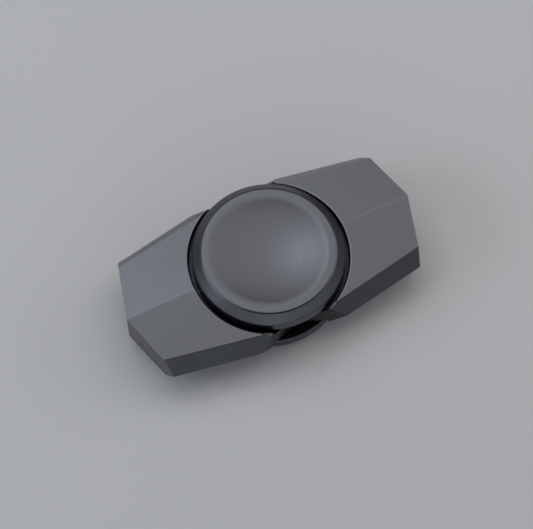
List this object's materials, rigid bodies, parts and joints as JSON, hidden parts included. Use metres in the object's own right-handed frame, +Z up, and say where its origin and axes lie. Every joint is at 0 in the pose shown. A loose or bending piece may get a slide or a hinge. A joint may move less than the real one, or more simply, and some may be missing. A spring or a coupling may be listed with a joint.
{
  "type": "fidget spinner",
  "caption": "Faceted metal bar with pointed ends that spins on a ball bearing, held between round dished finger caps.",
  "frame": {"origin": "centre of the lower cap's rest face, on the spin axis, when the spinner lies flat", "axes": "+X along the frame from tip to tip, +Y across it, +Z up along the spin axis"},
  "size_m": [0.0608, 0.0326, 0.0151],
  "materials": {
    "frame_metal": "fine bead-blasted, anodised dark grey",
    "cap_metal": "turned, then anodised dark grey, satin",
    "bearing_steel": "ground",
    "ball_steel": "polished",
    "shield_steel": "pressed sheet, satin",
    "cage_steel": "pressed sheet, tumbled",
    "spring_steel": "tempered, drawn",
    "stud_steel": "black oxide"
  },
  "bodies": {
    "grip": {"cap_upper": "cap_metal", "cap_lower": "cap_metal", "cap_stud": "stud_steel", "shim_upper": "spring_steel", "shim_lower": "spring_steel", "bearing_inner_ring": "bearing_steel"},
    "rotor": {"frame": "frame_metal", "bearing_outer_ring": "bearing_steel", "shield_upper": "shield_steel", "shield_lower": "shield_steel", "shield_clip_upper": "spring_steel", "shield_clip_lower": "spring_steel"},
    "cage": {"cage_upper": "cage_steel", "cage_lower": "cage_steel", "cage_rivets": "cage_steel"},
    "ball_1": {"ball_1": "ball_steel"},
    "ball_2": {"ball_2": "ball_steel"},
    "ball_3": {"ball_3": "ball_steel"},
    "ball_4": {"ball_4": "ball_steel"},
    "ball_5": {"ball_5": "ball_steel"},
    "ball_6": {"ball_6": "ball_steel"},
    "ball_7": {"ball_7": "ball_steel"}
  },
  "joints": [
    {"name": "spin", "type": "hinge", "parent": "grip", "child": "rotor", "pos_m": [0, 0, 0.00755], "axis": [0, 0, 1], "continuous": true},
    {"name": "cage_orbit", "type": "hinge", "parent": "grip", "child": "cage", "pos_m": [0, 0, 0.00755], "axis": [0, 0, 1], "continuous": true},
    {"name": "ball_1_roll", "type": "hinge", "parent": "cage", "child": "ball_1", "pos_m": [0.00731, 0.00167, 0.00755], "axis": [0, 0, 1], "continuous": true},
    {"name": "ball_2_roll", "type": "hinge", "parent": "cage", "child": "ball_2", "pos_m": [0.00325, 0.00676, 0.00755], "axis": [0, 0, 1], "continuous": true},
    {"name": "ball_3_roll", "type": "hinge", "parent": "cage", "child": "ball_3", "pos_m": [-0.00325, 0.00676, 0.00755], "axis": [0, 0, 1], "continuous": true},
    {"name": "ball_4_roll", "type": "hinge", "parent": "cage", "child": "ball_4", "pos_m": [-0.00731, 0.00167, 0.00755], "axis": [0, 0, 1], "continuous": true},
    {"name": "ball_5_roll", "type": "hinge", "parent": "cage", "child": "ball_5", "pos_m": [-0.00586, -0.00468, 0.00755], "axis": [0, 0, 1], "continuous": true},
    {"name": "ball_6_roll", "type": "hinge", "parent": "cage", "child": "ball_6", "pos_m": [0, -0.0075, 0.00755], "axis": [0, 0, 1], "continuous": true},
    {"name": "ball_7_roll", "type": "hinge", "parent": "cage", "child": "ball_7", "pos_m": [0.00586, -0.00468, 0.00755], "axis": [0, 0, 1], "continuous": true}
  ],
  "couplings": [
    {"joint": "cage_orbit", "follows": "spin", "ratio": 0.6323},
    {"joint": "ball_1_roll", "follows": "spin", "ratio": 1.7573},
    {"joint": "ball_2_roll", "follows": "spin", "ratio": 1.7573},
    {"joint": "ball_3_roll", "follows": "spin", "ratio": 1.7573},
    {"joint": "ball_4_roll", "follows": "spin", "ratio": 1.7573},
    {"joint": "ball_5_roll", "follows": "spin", "ratio": 1.7573},
    {"joint": "ball_6_roll", "follows": "spin", "ratio": 1.7573},
    {"joint": "ball_7_roll", "follows": "spin", "ratio": 1.7573}
  ]
}
